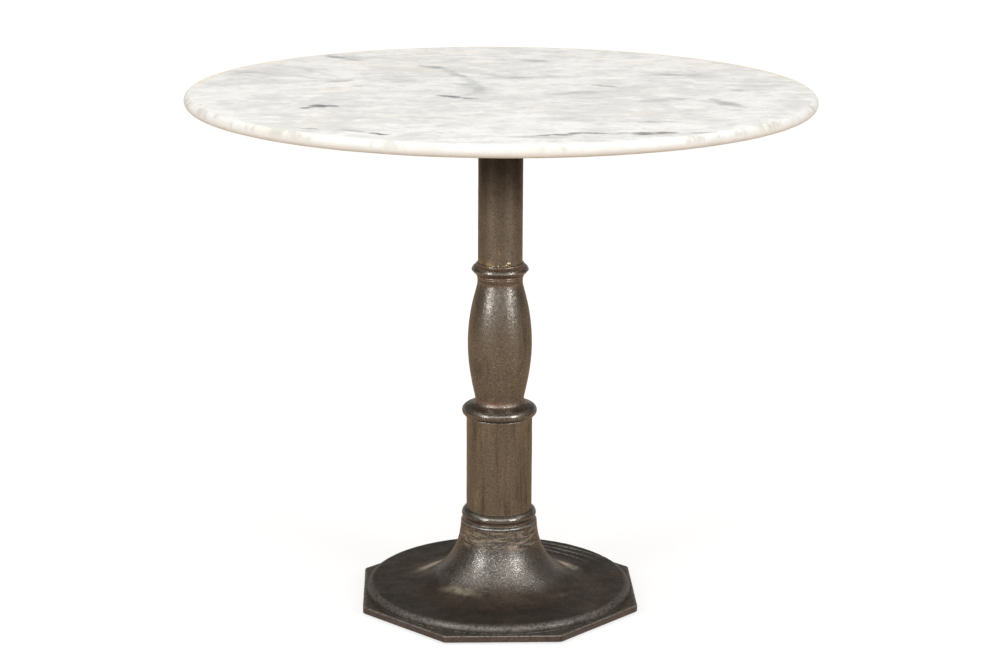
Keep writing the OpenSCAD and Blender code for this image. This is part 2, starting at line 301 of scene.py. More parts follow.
def iron(name, dark=DARK, middle=BROWN, light=TAN, streaks=0.5, rust=0.35, glint=0.3,
         grain=1.0, rough=(0.26, 0.44), coat=0.2, hollow=0.8, gilt=None, painted_shadow=None, disc=None,
         crust=None, painted_light_patches=()):
    """Aged cast iron: mottled brown patina, fine pits, rust in hollows and bright worn edges.
    The rest are heights in millimetres: gilt, where braze has run out over the iron; painted_shadow,
    the painted shadow of the slab on the tube's top, where it is darkest and where it ends; disc,
    below which it is plain and dark; crust, the lower and upper edge of a flaky band.
    painted_light_patches are painted reflections and highlights, spots from above, each with its colour."""
    p = Paint(name)
    height = p.times(p.z, 1 / MM)
    cloud = p.noise(34, 6, 0.62, 0.4)
    blotch = p.noise(11, 4, 0.55, 0.8)
    runs = p.noise(1, 5, 0.6, 0.3, p.stretched((95, 95, 9)))
    speck = p.noise(760, 3, 0.7)
    grit = p.noise(240, 4, 0.65)
    pits = p.noise(430, 3, 0.6)
    tone = p.math("ADD", p.times(cloud, 0.60), p.times(blotch, 0.40))
    tone = p.blend(streaks, tone, runs)
    colour = p.blend(p.window(tone, 0.30, 0.52), dark, middle)
    colour = p.blend(p.window(tone, 0.53, 0.74), colour, light)
    colour = p.blend(p.window(pits, 0.50, 0.34, 0.0, 0.6), colour, dark)
    painted_light = 0.0
    # Painted reflections and highlights: lighter spots on the bell's flare and on the disc
    for place, tint in painted_light_patches:
        spread = p.times(p.spot(p.place, *place), p.window(cloud, 0.36, 0.56, 0.45, 1.0))
        colour = p.blend(spread, colour, tint)
        painted_light = p.greatest(painted_light, spread)
    flat = 0.0
    if disc is not None:
        flat = p.window(height, disc + 14, disc)
        plain = p.blend(p.window(cloud, 0.40, 0.66), *PLAIN)
        colour = p.blend(p.math("SUBTRACT", p.times(flat, 0.78), painted_light, clamp=True), colour, plain)
    # Silver on worn edges and chips, and painted highlight lines on the bell's cold ridges
    wear_and_sheen = p.times(p.attribute("wear"), p.window(grit, 0.34, 0.58))
    spark = p.times(p.window(pits, 0.56, 0.68), glint, p.math("SUBTRACT", 1.0, p.times(flat, 0.8)))
    colour = p.blend(p.greatest(p.times(wear_and_sheen, 0.7), spark), colour, SILVER)
    flaky = 0.0
    if crust is not None:
        low, high = crust
        flakes = p.noise(1, 5, 0.68, 0.6, p.stretched((42, 42, 190), turn=(3, -2, 0)))
        flaky = p.times(p.window(height, low - 4, low + 10), p.window(height, high, high - 4),
                        p.window(flakes, 0.46, 0.58))
        colour = p.blend(p.times(flaky, 0.7), colour, CRUST)
    hollows = p.times(p.attribute("grime"), p.window(cloud, 0.30, 0.58, 0.35, 1.0))
    bloom = p.times(p.window(blotch, 0.56, 0.74), rust, p.window(grit, 0.42, 0.60))
    rusty = p.greatest(p.times(hollows, hollow), p.times(bloom, 0.8))
    colour = p.blend(rusty, colour, RUST)
    if gilt is not None:
        spill = p.window(p.noise(1, 4, 0.6, 0.6, p.stretched((70, 70, 40))), 0.46, 0.64)
        colour = p.blend(p.times(p.window(height, gilt + 11, gilt + 1), spill, 0.7), colour, BRAZE)
    # Painted shadow: the tube darkens towards its top, standing in for the shade under the slab
    if painted_shadow is not None:
        colour = p.blend(p.window(height, painted_shadow[1], painted_shadow[0], 0.0, 0.88), colour, PAINTED_SHADOW)
    # The rust, the crust and the painted light patches are less metal and rougher
    dull = p.greatest(rusty, p.times(p.greatest(flaky, painted_light), 0.7))
    metal = p.math("SUBTRACT", 0.88, p.times(dull, 0.7))
    matte = p.window(p.math("ADD", p.times(pits, 0.5), p.times(cloud, 0.5)), 0.38, 0.62, rough[1], rough[0])
    matte = p.math("ADD", matte, p.times(p.greatest(dull, flat), 0.22))
    normal = None
    for pattern, strength, depth in ((p.noise(120, 3, 0.6), 0.16, 0.0016), (grit, 0.22, 0.0010),
                                     (pits, 0.24, 0.0006), (speck, 0.14, 0.0003)):
        normal = p.bump(pattern, strength * grain, depth, normal)
    p.set(Base_Color=colour, Metallic=metal, Roughness=matte, Normal=normal)
    p.set(Coat_Weight=coat, Coat_Roughness=0.30, Specular_IOR_Level=0.5)
    return p.material


# Marble marks, from the middle of the slab: x, y, half length and half width in millimetres,
# angle in degrees and strength
MARKS = [
    (-258, -150, 15, 15, 10, 1.0), (-275, -164, 14, 10, 16, 0.85), (-240, -148, 16, 8, -12, 0.90),
    (-76, -66, 24, 10, -34, 0.95), (-50, -82, 16, 7, -24, 0.90),
    (-250, 330, 26, 10, -50, 0.60), (-226, 302, 18, 8, -44, 0.50),
    (-203, -352, 24, 5, -36, 0.65), (-170, -376, 18, 7, -32, 0.95),
    (46, -384, 20, 7, 22, 0.80), (67, -381, 16, 11, 0, 0.90), (86, -368, 18, 6, 24, 0.90),
    (112, -369, 22, 5, -8, 0.95), (172, -374, 20, 14, 2, 1.0), (150, -369, 14, 4, 4, 0.60),
    (200, -370, 24, 9, 6, 0.95), (258, -366, 30, 7, 8, 0.60), (204, -282, 30, 6, 4, 0.45),
    (264, 142, 24, 14, -20, 0.45), (290, 138, 20, 8, 6, 0.35),
    (300, -96, 18, 8, -62, 0.35), (313, -132, 22, 14, -52, 0.42), (328, -156, 18, 8, -48, 0.35),
    (60, 290, 24, 14, -16, 0.40), (-60, 137, 28, 11, -62, 0.35), (-100, 224, 28, 13, -38, 0.40),
    (152, 34, 28, 7, -34, 0.50), (-236, 78, 28, 8, 20, 0.40), (-266, -332, 18, 6, -30, 0.55),
    (347, -8, 18, 6, 2, 0.50), (-206, 30, 16, 6, 18, 0.45),
]
# Soft grey clouds in the stone, in the same units
CLOUDS = [
    (-370, 165, 62, 26, -14, 0.75), (-330, 72, 70, 34, 18, 0.45), (-38, 6, 26, 62, 12, 0.80),
    (-92, 214, 52, 24, -36, 0.55), (22, 112, 58, 26, -6, 0.60), (184, 36, 46, 30, -24, 0.40),
    (110, -34, 56, 22, 26, 0.55), (62, 292, 62, 36, -8, 0.50), (226, -98, 62, 16, 18, 0.50),
    (306, -128, 34, 46, 36, 0.60), (266, 146, 60, 40, 0, 0.50), (20, -395, 80, 9, -4, 0.55),
    (250, -372, 44, 8, 4, 0.55), (-240, 330, 60, 30, -46, 0.55), (-150, 90, 40, 60, 30, 0.35),
    (360, 40, 40, 18, -20, 0.35), (-120, -250, 60, 30, 24, 0.25), (70, -260, 46, 24, -30, 0.25),
]
# Grey veins: points they run through
VEINS = [
    [(-402, 150), (-352, 122), (-309, 139), (-268, 99), (-232, 72), (-216, 112)],
    [(-307, 222), (-271, 170), (-240, 118)],
    [(-106, 232), (-84, 208), (-58, 138), (-34, 40), (-31, -24), (-58, -62)],
    [(-26, 160), (10, 110), (54, 119), (96, 128)],
    [(70, -54), (114, -25), (140, -30), (176, -12)],
    [(181, -118), (216, -90), (268, -88)],
    [(20, -392), (60, -381), (92, -368), (130, -373), (150, -380)],
]
# Warm stains
STAINS = [
    (-236, 3, 44, 24, -20, 0.55), (-212, 34, 30, 12, 30, 0.45), (-236, -404, 40, 10, -36, 0.75),
    (58, -178, 14, 26, -20, 0.60), (188, -208, 60, 26, 10, 0.45), (316, 246, 50, 22, -38, 0.60),
    (222, 262, 70, 26, -24, 0.55), (-60, 380, 110, 22, 6, 0.50), (-352, 256, 70, 12, 36, 0.75),
    (66, -390, 18, 5, 0, 0.70), (188, -378, 34, 4, 2, 0.65), (150, 340, 60, 18, -16, 0.45),
]


def marble():
    """White marble with soft grey clouds, short blue-grey dashes and warm stains."""
    p = Paint("marble")
    warped = p.shaken(9.0, 5.0, 0.62, 0.055)
    frayed = p.shaken(46.0, 4.0, 0.6, 0.024)

    def vein(points):
        """Thin spots in a chain, one to each stretch of the vein."""
        made = []
        for (x0, y0), (x1, y1) in zip(points, points[1:]):
            length = hypot(x1 - x0, y1 - y0)
            angle = degrees(atan2(y1 - y0, x1 - x0))
            made.append(p.spot(frayed, (x0 + x1) / 2, (y0 + y1) / 2, length * 0.66, 12, angle, 0.42))
        return p.greatest(*made)

    dashes = p.greatest(*[p.spot(frayed, *mark, core=0.45) for mark in MARKS])
    clouds = p.greatest(*[p.spot(warped, *cloud) for cloud in CLOUDS])
    veins = p.greatest(*[vein(points) for points in VEINS])
    stains = p.greatest(*[p.spot(warped, *stain) for stain in STAINS])
    mist = p.noise(7, 6, 0.62, 0.0, warped)
    grainy = p.noise(1, 6, 0.66, 0.2, p.stretched((26, 42, 30), turn=(0, 0, 12)))
    fleck = p.noise(1, 5, 0.7, 0.5, p.stretched((60, 120, 60), turn=(0, 0, -20)))
    warm = p.noise(5.5, 5, 0.6, 0.3, p.stretched((1, 1, 1), shift=(3.1, 1.7, 0.4)))
    mottle = p.noise(1, 5, 0.62, 0.4, p.stretched((40, 40, 16)))

    colour = p.blend(p.window(mist, 0.40, 0.60), (0.93, 0.93, 0.915), (0.76, 0.765, 0.75))
    colour = p.blend(p.window(grainy, 0.50, 0.65, 0.0, 0.65), colour, (0.64, 0.65, 0.64))
    colour = p.blend(p.window(grainy, 0.48, 0.34, 0.0, 0.9), colour, (0.97, 0.97, 0.955))
    colour = p.blend(p.window(fleck, 0.55, 0.67, 0.0, 0.6), colour, (0.54, 0.555, 0.55))
    colour = p.blend(p.window(warm, 0.56, 0.74, 0.0, 0.4), colour, (0.88, 0.82, 0.71))
    shade = p.times(clouds, p.window(grainy, 0.34, 0.60, 0.45, 1.0), 0.92)
    colour = p.blend(shade, colour, (0.44, 0.47, 0.475))
    tint = p.times(stains, p.window(fleck, 0.36, 0.60, 0.25, 1.0), 0.55)
    colour = p.blend(tint, colour, (0.84, 0.74, 0.58))
    line = p.times(veins, p.window(fleck, 0.34, 0.58, 0.3, 1.0), 0.9)
    colour = p.blend(line, colour, (0.36, 0.38, 0.40))
    dark = p.times(dashes, p.window(fleck, 0.30, 0.50, 0.6, 1.0), 0.92)
    ink = p.blend(p.window(p.x, 0.0, 0.15), (0.155, 0.18, 0.21), (0.25, 0.235, 0.22))
    colour = p.blend(dark, colour, ink)

    edge = p.blend(p.window(warm, 0.46, 0.66), (0.84, 0.85, 0.84), (0.82, 0.775, 0.68))
    edge = p.blend(p.window(mottle, 0.50, 0.64, 0.0, 0.8), edge, (0.56, 0.56, 0.51))
    edge = p.blend(p.window(mottle, 0.46, 0.36, 0.0, 0.7), edge, (0.90, 0.91, 0.905))
    # Painted light: the lower half of the bullnose, which faces down into shade, is painted lighter and
    # cooler
    painted_light_low_edge = p.window(p.z, (SLAB_HIGH - 3.5) * MM, (SLAB_LOW + 5) * MM, 0.0, 0.95)
    edge = p.blend(painted_light_low_edge, edge, (0.96, 0.99, 1.0))
    colour = p.blend(p.times(p.attribute("wear"), 0.85), colour, edge)
    out = p.length(p.vector("MULTIPLY", p.place, (1, 1, 0)))
    border = p.times(p.window(out, (SLAB_R - 24) * MM, (SLAB_R - 10) * MM),
                     p.window(p.y, -0.08, 0.16, 0.0, 0.75), p.window(mottle, 0.36, 0.58, 0.3, 1.0))
    colour = p.blend(border, colour, (0.84, 0.75, 0.56))
    below = p.window(p.z, (SLAB_LOW + 2) * MM, SLAB_LOW * MM)
    colour = p.blend(below, colour, (0.90, 0.97, 1.0), kind="MULTIPLY")
    p.set(Subsurface_Weight=0.25, Subsurface_Radius=(1.0, 0.95, 0.88), Subsurface_Scale=0.012)
    p.set(Base_Color=colour, Roughness=p.window(mist, 0.3, 0.7, 0.40, 0.50))
    p.set(Normal=p.bump(p.noise(420, 2, 0.5), 0.05, 0.0004))
    p.set(Specular_IOR_Level=0.40)
    return p.material


def zinc():
    p = Paint("zinc_steel")
    cloud = p.noise(90, 5, 0.6, 0.4)
    fine = p.noise(900, 2, 0.6)
    colour = p.blend(p.window(cloud, 0.36, 0.66), (0.50, 0.49, 0.46), (0.36, 0.35, 0.33))
    colour = p.blend(p.window(fine, 0.60, 0.72, 0.0, 0.6), colour, (0.22, 0.20, 0.18))
    p.set(Base_Color=colour, Metallic=0.9, Roughness=p.window(cloud, 0.3, 0.7, 0.28, 0.46))
    p.set(Normal=p.bump(fine, 0.2, 0.0003))
    return p.material


def brass(name, colours, rough=(0.22, 0.42)):
    p = Paint(name)
    cloud = p.noise(240, 4, 0.6, 0.5)
    colour = p.blend(p.window(cloud, 0.40, 0.62), *colours)
    p.set(Base_Color=colour, Metallic=0.92, Roughness=p.window(cloud, 0.3, 0.7, *rough))
    p.set(Normal=p.bump(p.noise(500, 3, 0.6), 0.4, 0.0005))
    return p.material


def plastic(name, colour, wear_and_sheen, rough):
    p = Paint(name)
    fine = p.noise(1300, 2, 0.6)
    p.set(Base_Color=p.blend(p.window(p.noise(160, 5, 0.6), 0.42, 0.70), colour, wear_and_sheen))
    p.set(Roughness=p.window(fine, 0.3, 0.7, rough, rough + 0.15))
    p.set(Normal=p.bump(fine, 0.25, 0.0003))
    return p.material


# ---------------- mesh helpers


def new_piece(name, mesh, material, slot, *nodes, body=BODY, angle=38):
    """Links a mesh as a finished piece that stands for some CAD nodes."""
    piece = link(name, mesh)
    mesh.materials.clear()
    mesh.materials.append(material)
    mesh.shade_smooth()
    mesh.set_sharp_from_angle(angle=radians(angle))
    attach(piece, body)
    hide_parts(*nodes)
    return piece


def new_mesh(name, verts, faces, **values):
    """A mesh from places in millimetres, with values for the finishes at its vertices."""
    mesh = bpy.data.meshes.new(name)
    mesh.from_pydata([(x * MM, y * MM, z * MM) for x, y, z in verts], [], faces)
    for label, numbers in values.items():
        layer = mesh.attributes.new(label, "FLOAT", "POINT")
        layer.data.foreach_set("value", np.array(numbers, np.float32))
    return mesh


def skin(rows, per, loop=False, caps=True):
    """Quads between rows of per places; loop joins the last row to the first."""
    faces = []
    for i in range(rows if loop else rows - 1):
        j = (i + 1) % rows
        for k in range(per):
            n = (k + 1) % per
            faces.append((i * per + k, i * per + n, j * per + n, j * per + k))
    if caps:
        faces.append(tuple(range(per))[::-1])
        faces.append(tuple(range((rows - 1) * per, rows * per)))
    return faces


def arc(cx, cz, r, start, stop, step=0.6):
    """Points of an arc, at most step apart, angles in degrees."""
    count = max(3, ceil(abs(radians(stop - start)) * r / step))
    angles = [radians(start + (stop - start) * i / count) for i in range(count + 1)]
    return [(cx + r * cos(a), cz + r * sin(a)) for a in angles]


def bezier(a, b, c, d, count=24):
    made = []
    for i in range(count + 1):
        t = i / count
        u = 1 - t
        made.append(tuple(u**3 * a[k] + 3 * u * u * t * b[k] + 3 * u * t * t * c[k] + t**3 * d[k]
                          for k in (0, 1)))
    return made


def resampled(points, step):
    """The same open line with a point about every step, corners kept."""
    made = [points[0]]
    for (r0, z0), (r1, z1) in zip(points, points[1:]):
        count = max(1, round(hypot(r1 - r0, z1 - z0) / step))
        made += [(r0 + (r1 - r0) * i / count, z0 + (z1 - z0) * i / count) for i in range(1, count + 1)]
    return made


def turning(points, reach):
    """How sharply the line turns within reach of each point, positive where it is convex."""
    pts = np.array(points)
    along = np.concatenate([[0], np.cumsum(np.hypot(*(pts[1:] - pts[:-1]).T))])

    def at(s):
        s = np.clip(s, 0, along[-1])
        return np.stack([np.interp(s, along, pts[:, k]) for k in (0, 1)], 1)

    before, here, after = at(along - reach), pts, at(along + reach)
    a, b = here - before, after - here
    cross = a[:, 0] * b[:, 1] - a[:, 1] * b[:, 0]
    return np.arctan2(cross, (a * b).sum(1) + 1e-9)


def rough_casting(point, amount, seed):
    """Height of the casting's unevenness at a point, in millimetres."""
    at = Vector(point) * 0.035
    shift = Vector((seed * 3.7, seed * 1.3, seed * 7.1))
    return amount * (noise.noise(at + shift) + 0.5 * noise.noise(at * 2.9 + shift)
                     + 0.28 * noise.noise(at * 8.3 + shift))


def lathe(name, outer, inner, segments, step=1.4, uneven=0.0, seed=0, wear_reach=1.6, relief=None):
    """A closed turned mesh. The outer line runs upwards; it is resampled and made uneven.
    The inner line runs back down as it is. relief(angle, r, z) adds an outward height."""
    outer = resampled(outer, step)
    turn = turning(outer, wear_reach)
    fold = turning(outer, wear_reach * 2.2)
    ring = outer + inner
    closed_axis = abs(ring[0][0]) < 1e-6 and abs(ring[-1][0]) < 1e-6
    pts = np.array(outer)
    ahead = np.roll(pts, -1, 0) - np.roll(pts, 1, 0)
    ahead[0], ahead[-1] = pts[1] - pts[0], pts[-1] - pts[-2]
    ahead /= np.linalg.norm(ahead, axis=1)[:, None] + 1e-12
    normals = np.stack([ahead[:, 1], -ahead[:, 0]], 1)
    ends = np.minimum(np.arange(len(outer)), np.arange(len(outer))[::-1]) * step
    fade = np.clip(ends / 3.0, 0, 1)
    verts, wear, grime = [], [], []
    for i, (r, z) in enumerate(ring):
        for k in range(segments):
            a = 2 * pi * k / segments
            rr, zz, cut = r, z, 0.0
            if i < len(outer) and r > 1e-6:
                c, s = cos(a), sin(a)
                lift = rough_casting((r * c, r * s, z), uneven, seed) * fade[i] if uneven else 0.0
                if relief:
                    cut = relief(a, r, z)
                    lift += cut
                rr += normals[i, 0] * lift
                zz += normals[i, 1] * lift
            verts.append((rr * cos(a), rr * sin(a), zz))
            bent, folded = (turn[i], fold[i]) if i < len(outer) else (0.0, 0.0)
            # Wear is high on convex bends and wherever relief lifts or cuts the surface: real wear on edges
            # and chips, and painted highlight lines on the raised cold ridges
            wear.append(min(1.0, max(0.0, bent / 0.7, abs(cut) / 0.8)))
            grime.append(min(1.0, max(0.0, -folded / 0.7)))
    faces = skin(len(ring), segments, loop=not closed_axis, caps=False)
    mesh = new_mesh(name, verts, faces, wear=wear, grime=grime)
    if closed_axis:
        weld(mesh)
    mesh.validate()
    return mesh


def weld(mesh):
    """Joins vertices that share a place, such as the rings on the axis."""
    distance = 0.000001
    work = bmesh.new()
    work.from_mesh(mesh)
    bmesh.ops.remove_doubles(work, verts=work.verts, dist=distance)
    bmesh.ops.dissolve_degenerate(work, edges=work.edges, dist=distance)
    bmesh.ops.recalc_face_normals(work, faces=work.faces)
    work.to_mesh(mesh)
    work.free()


def combined(mesh, others, operation):
    """The mesh after a Boolean with each of the other meshes, which are used up."""
    host = link("host", mesh)
    tools = []
    for other in others:
        tool = link("tool", other)
        change = host.modifiers.new("cut", "BOOLEAN")
        change.operation = operation
        change.solver = "EXACT"
        change.object = tool
        tools.append(tool)
    graph = bpy.context.evaluated_depsgraph_get()
    graph.update()
    made = bpy.data.meshes.new_from_object(host.evaluated_get(graph))
    made.name = mesh.name + "_cut"
    for tool in tools:
        bpy.data.objects.remove(tool)
    bpy.data.objects.remove(host)
    return made


def plug(r, low, high, x=0.0, y=0.0, segments=64, taper=None):
    """A closed cylinder or cone, to add or cut away. taper is its top radius."""
    top = r if taper is None else taper
    mesh = lathe("plug", [(0, low), (r, low), (top, high), (0, high)], [], segments, step=1000)
    mesh.transform(Matrix.Translation((x * MM, y * MM, 0)))
    return mesh


def around(count, radius, first):
    """Places on a circle, as x and y in millimetres."""
    angles = [radians(first + 360 / count * i) for i in range(count)]
    return [(radius * cos(a), radius * sin(a)) for a in angles]


def joined(name, meshes):
    """Separate closed shells in one mesh."""
    work = bmesh.new()
    for mesh in meshes:
        work.from_mesh(mesh)
    made = bpy.data.meshes.new(name)
    work.to_mesh(made)
    work.free()
    return made


# ---------------- driving dimensions

SLAB_LOW, SLAB_HIGH, SLAB_R = span("marble_top")
SPIDER_LOW, SPIDER_HIGH, _ = span("top_spider")
TUBE_LOW, TUBE_HIGH, TUBE_R = span("upper_tube")
COLLAR_LOW, _, RIDGE_R = span("upper_collar")
VASE_LOW, NECK_Z, VASE_R = span("baluster")
BEAD_LOW, _, BEAD_R = span("mid_collar")
DRUM_LOW, DRUM_HIGH, DRUM_R = span("lower_drum")
RING_LOW, _, _ = span("base_ring")
_, BELL_HIGH, DISC_R = span("base_bell")
PLINTH_LOW, PLINTH_HIGH, PLINTH_HALF = span("base_plinth")
BOLT_LOW, BOLT_HIGH, _ = span("top_bolts")

BORE_R = 24
SPIGOT_H = 6
NECK_R = 33.65
FOOT_R = 38.4
BEAD_MINOR = 8
BEAD_C = BEAD_R - BEAD_MINOR
BELL_R = 57.4
DISC_Z = PLINTH_LOW + 22.5
BOLT_CIRCLE_R = 175
GLIDE_R = hypot(*sum(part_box("glide_pad_1"), Vector((0, 0, 0))).xy) / 2 / MM
SCREW_CIRCLE_R = 176
CRUST_LOW, CRUST_HIGH = BELL_HIGH - 34, BELL_HIGH - 5
PAINTED_SHADOW_Z = (678, 580)         # heights where the slab's painted shadow on the tube is darkest and where it ends
PITCH = 1.25                # of every M8 thread


# ---------------- pieces


def make_slab(finish):
    edge = (SLAB_HIGH - SLAB_LOW) / 2
    middle = SLAB_LOW + edge
    outer = [(0, SLAB_LOW), (SLAB_R - 45, SLAB_LOW), (SLAB_R - edge, SLAB_LOW)]
    outer += arc(SLAB_R - edge, middle, edge, -90, 90)[1:]
    outer += [(SLAB_R - 45, SLAB_HIGH), (0, SLAB_HIGH)]

    def ground_by_hand(angle, r, z):
        if r < SLAB_R - edge * 1.05:
            return 0.0
        at = Vector((SLAB_R * cos(angle), SLAB_R * sin(angle), z)) * 0.02
        return 0.12 * noise.noise(at) - 0.12

    mesh = lathe("slab", outer, [], 420, step=40.0, relief=ground_by_hand)
    for vertex, wear in zip(mesh.vertices, mesh.attributes["wear"].data):      # 1 on the bullnose
        beyond = hypot(vertex.co.x, vertex.co.y) / MM - (SLAB_R - edge * 0.95)
        wear.value = min(1.0, max(0.0, beyond / 4.0))
    insert_r, insert_depth = 6.05, 13.2
    holes = [plug(insert_r, SLAB_LOW - 1, SLAB_LOW + insert_depth, x, y, 32)
             for x, y in around(4, BOLT_CIRCLE_R, 45)]
    mesh = combined(mesh, holes, "DIFFERENCE")
    new_piece("marble_slab", mesh, finish, "marble", "marble_top", angle=50)


def make_tube(finish):
    wall = 4
    outer = [(TUBE_R, TUBE_LOW), (TUBE_R, TUBE_HIGH)]
    inner = [(TUBE_R - wall, TUBE_HIGH), (TUBE_R - wall, TUBE_LOW)]
    mesh = lathe("tube", outer, inner, 224, step=1.6, uneven=0.10, seed=1)
    new_piece("column_tube", mesh, finish, "aged_iron", "upper_tube")


def make_upper_collar(finish):
    socket = 26.6
    ridge_z = NECK_Z + 17.5
    top_z = NECK_Z + 27.5
    outer = [(NECK_R + 0.1, NECK_Z)]
    outer += arc(NECK_R - 0.8, NECK_Z + 5.4, 1.3, -50, 50, 0.4)
    outer += arc(NECK_R + 0.2, NECK_Z + 8.4, 1.4, -50, 50, 0.4)
    outer += bezier((NECK_R + 1.6, NECK_Z + 10.2), (NECK_R + 3.4, NECK_Z + 12.0),
                    (RIDGE_R - 3.4, ridge_z - 5.6), (RIDGE_R - 1.5, ridge_z - 2), 12)
    outer += arc(RIDGE_R - 1.9, ridge_z, 1.9, -50, 30, 0.4)
    outer += bezier((RIDGE_R - 0.35, ridge_z + 1.3), (RIDGE_R - 1.4, ridge_z + 4.2),
                    (TUBE_R + 6.6, top_z - 3.6), (TUBE_R + 3.7, top_z - 4.0), 12)
    outer += arc(TUBE_R + 1.6, top_z - 1.6, 1.6, -40, 110, 0.4)
    outer += [(TUBE_R + 0.1, top_z - 0.9)]
    inner = [(TUBE_R + 0.05, top_z - SPIGOT_H), (BORE_R, top_z - SPIGOT_H),
             (BORE_R, COLLAR_LOW), (socket, COLLAR_LOW), (socket, NECK_Z)]
    mesh = lathe("collar", outer, inner, 288, step=0.7, uneven=0.12, seed=2, wear_reach=1.0)
    new_piece("column_collar", mesh, finish, "aged_iron", "upper_collar")


def make_baluster(finish):
    wall = 7
    foot = FOOT_R - 2.1
    outer = [(FOOT_R, VASE_LOW)]
    outer += arc(FOOT_R + 0.4, VASE_LOW + 4.2, 2.3, 225, 165, 0.5)
    outer += bezier((foot, VASE_LOW + 6.0), (foot + 0.9, VASE_LOW + 13.8),
                    (VASE_R, VASE_LOW + 47.8), (VASE_R, VASE_LOW + 90), 40)
    outer += bezier((VASE_R, VASE_LOW + 91), (VASE_R, NECK_Z - 37.8),
                    (NECK_R - 2.1, NECK_Z - 6.3), (NECK_R, NECK_Z), 40)
    inner = [(NECK_R - wall, NECK_Z), (NECK_R - wall, NECK_Z - SPIGOT_H - 1),
             (VASE_R - wall, VASE_LOW + 110), (VASE_R - wall, VASE_LOW + 75),
             (foot - wall, VASE_LOW + SPIGOT_H + 1), (foot - wall, VASE_LOW)]
    mesh = lathe("vase", outer, inner, 288, step=1.5, uneven=0.16, seed=3)
    new_piece("column_baluster", mesh, finish, "aged_iron", "baluster")


def make_mid_collar(finish):
    bead_z = BEAD_LOW + SPIGOT_H + BEAD_MINOR
    flat = bead_z - BEAD_MINOR
    outer = [(DRUM_R - 6.05, flat), (BEAD_C + 0.4, flat)]
    outer += arc(BEAD_C, bead_z, BEAD_MINOR, -86, 82, 0.7)
    outer += [(FOOT_R + 4.6, VASE_LOW - 3.0)]
    outer += bezier((FOOT_R + 3.4, VASE_LOW - 2.6), (FOOT_R + 1.8, VASE_LOW - 2.0),
                    (FOOT_R + 0.5, VASE_LOW - 1.2), (FOOT_R, VASE_LOW), 6)
    inner = [(29.25, VASE_LOW), (29.25, VASE_LOW + SPIGOT_H), (BORE_R, VASE_LOW + SPIGOT_H),
             (BORE_R, BEAD_LOW), (DRUM_R - 6.05, BEAD_LOW)]
    mesh = lathe("bead", outer, inner, 320, step=0.9, uneven=0.12, seed=4)
    new_piece("middle_collar", mesh, finish, "aged_iron", "mid_collar")


def make_drum(finish):
    wall = 6
    outer = [(DRUM_R - 0.3, DRUM_LOW), (DRUM_R, DRUM_LOW + 0.4), (DRUM_R, DRUM_HIGH - 0.4),
             (DRUM_R - 0.3, DRUM_HIGH)]
    inner = [(DRUM_R - wall, DRUM_HIGH), (DRUM_R - wall, DRUM_LOW)]
    mesh = lathe("drum", outer, inner, 300, step=1.5, uneven=0.15, seed=5)
    new_piece("column_drum", mesh, finish, "aged_iron", "lower_drum")


def make_base_ring(finish):
    bead_z = BELL_HIGH + 9
    groove = 54.6
    outer = [(groove, BELL_HIGH)]
    outer += arc(groove + 1.6, BELL_HIGH + 2.1, 1.6, 250, 170, 0.4)
    outer += arc(BEAD_C, bead_z, BEAD_MINOR, -38, 78, 0.6)
    outer += [(DRUM_R + 0.6, bead_z + BEAD_MINOR + 0.05), (DRUM_R - 5.0, DRUM_LOW)]
    inner = [(DRUM_R - 6.05, DRUM_LOW), (DRUM_R - 6.05, DRUM_LOW + SPIGOT_H),
             (BORE_R, DRUM_LOW + SPIGOT_H), (BORE_R, RING_LOW), (43.95, RING_LOW), (43.95, BELL_HIGH)]
    mesh = lathe("ring", outer, inner, 320, step=0.7, uneven=0.12, seed=6, wear_reach=1.2)
    new_piece("foot_ring", mesh, finish, "aged_iron", "base_ring")


def casting_flaws():
    """Places of the chips on the disc's edge, as angle, height, half width and depth."""
    draw = random.Random(11)
    flaws = []
    for _ in range(46):
        flaws.append((draw.uniform(0, 2 * pi), DISC_Z - draw.uniform(0.0, 5.5),
                      draw.uniform(1.5, 6.0), draw.uniform(0.15, 0.6)))
    return flaws


def burnt_sand(x, y, z):
    """Height of the crust round the bell's top, where the sand burnt on."""
    crust = noise.noise(Vector((x * 0.11, y * 0.11, z * 0.34)) + Vector((9, 2, 4)))
    fine = noise.noise(Vector((x * 0.5, y * 0.5, z * 0.8)))
    depth = min(1.0, (z - CRUST_LOW) / 8) * min(1.0, max(0.0, (CRUST_HIGH - z) / 5))
    return depth * (0.55 * max(0.0, crust) + 0.18 * fine)


def cold_ridges(x, y, r):
    """Height of the ridges on the disc, where the iron ran cold."""
    middle, half_sweep, inner_r = 50, 26, 140
    azimuth = degrees(atan2(y, x))
    strength = max(0.0, 1 - abs(azimuth - middle) / half_sweep) * min(1.0, (r - inner_r) / 14)
    wave = sin(r * 0.46 + 5 * noise.noise(Vector((x * 0.012, y * 0.012, 1.5))))
    return strength * max(0.0, wave) ** 2


def chips(flaws, angle, r, z):
    """Depth, below zero, of the chips on the disc's edge."""
    lift = 0.0
    for flaw_angle, flaw_z, half, depth in flaws:
        across = abs((angle - flaw_angle + pi) % (2 * pi) - pi) * r / half
        up = abs(z - flaw_z) / (half * 0.55)
        if across < 1 and up < 1:
            lift -= depth * (1 - across) * (1 - up)
    return lift


